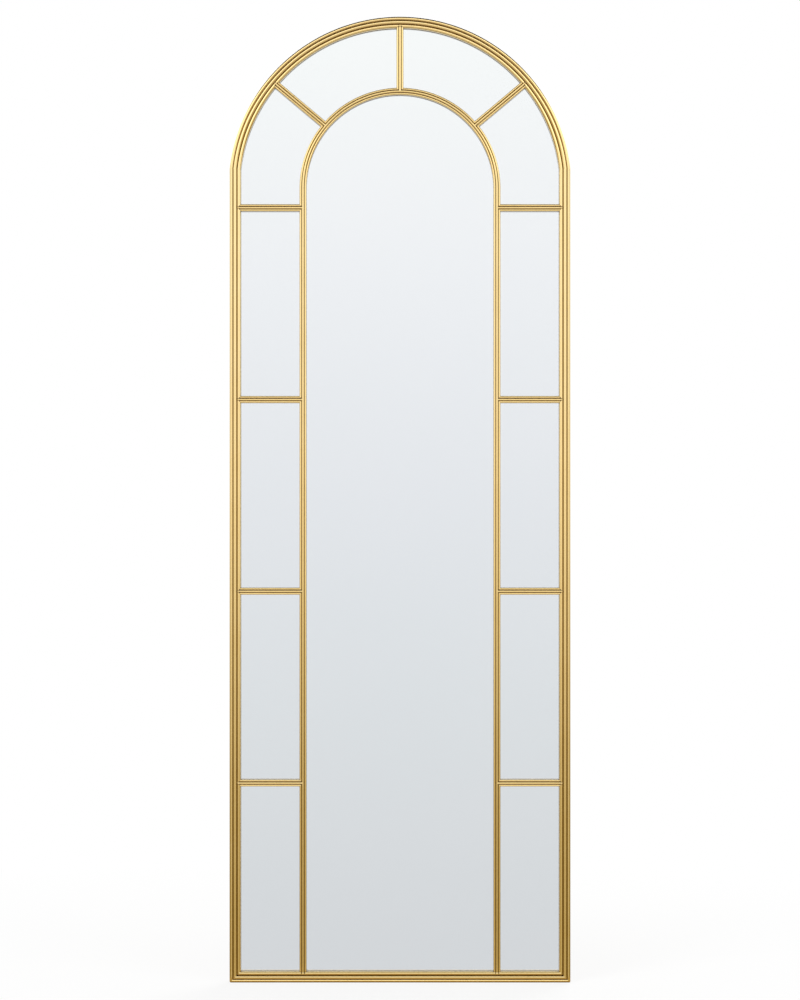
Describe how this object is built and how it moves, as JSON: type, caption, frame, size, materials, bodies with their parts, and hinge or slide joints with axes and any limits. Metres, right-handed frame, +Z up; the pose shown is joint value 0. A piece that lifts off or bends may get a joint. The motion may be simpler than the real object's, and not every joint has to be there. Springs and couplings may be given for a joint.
{
  "type": "leaning floor mirror",
  "caption": "Tall arch-topped floor mirror: a reeded metal frame with an inner arch, crossbars and fan bars round separate mirror panes, a board back and swinging hanging rings.",
  "frame": {"origin": "middle of the bottom edge, half way through the frame's depth, on the floor", "axes": "+Z up the mirror's height, -Y out of the mirror's face towards the viewer, +Y to the back with the hangers, +X to the viewer's right"},
  "size_m": [0.6, 0.029, 1.7],
  "materials": {
    "gold_metal": "brass-plated roll-formed sheet, satin lacquer",
    "mirror_glass": "silvered float glass, clean polished face",
    "foam": "white closed-cell foam sheet",
    "board": "brown fibreboard",
    "zinc": "zinc-plated steel",
    "brassed_steel": "brass-plated steel",
    "rubber": "black moulded rubber"
  },
  "bodies": {
    "mirror": {"arch_head": "gold_metal", "left_stile": "gold_metal", "right_stile": "gold_metal", "bottom_rail": "gold_metal", "inner_arch": "gold_metal", "left_pillar": "gold_metal", "right_pillar": "gold_metal", "left_crossbar_1": "gold_metal", "left_crossbar_2": "gold_metal", "left_crossbar_3": "gold_metal", "left_crossbar_4": "gold_metal", "right_crossbar_1": "gold_metal", "right_crossbar_2": "gold_metal", "right_crossbar_3": "gold_metal", "right_crossbar_4": "gold_metal", "left_fan_bar": "gold_metal", "centre_fan_bar": "gold_metal", "right_fan_bar": "gold_metal", "centre_pane": "mirror_glass", "left_pane_1": "mirror_glass", "left_pane_2": "mirror_glass", "left_pane_3": "mirror_glass", "left_pane_4": "mirror_glass", "right_pane_1": "mirror_glass", "right_pane_2": "mirror_glass", "right_pane_3": "mirror_glass", "right_pane_4": "mirror_glass", "left_lower_fan_pane": "mirror_glass", "left_upper_fan_pane": "mirror_glass", "right_lower_fan_pane": "mirror_glass", "right_upper_fan_pane": "mirror_glass", "foam_sheet": "foam", "backing_board": "board", "board_clips": "zinc", "clip_screws": "zinc", "hanger_screws": "zinc", "wall_bumpers": "rubber", "left_hanger_strap": "brassed_steel", "right_hanger_strap": "brassed_steel"},
    "left_ring": {"left_hanging_ring": "brassed_steel"},
    "right_ring": {"right_hanging_ring": "brassed_steel"}
  },
  "joints": [
    {"name": "left_ring_swing", "type": "hinge", "parent": "mirror", "child": "left_ring", "pos_m": [-0.15, 0.0093, 1.29], "axis": [1, 0, 0], "range_deg": [0, 180]},
    {"name": "right_ring_swing", "type": "hinge", "parent": "mirror", "child": "right_ring", "pos_m": [0.15, 0.0093, 1.29], "axis": [1, 0, 0], "range_deg": [0, 180]}
  ]
}
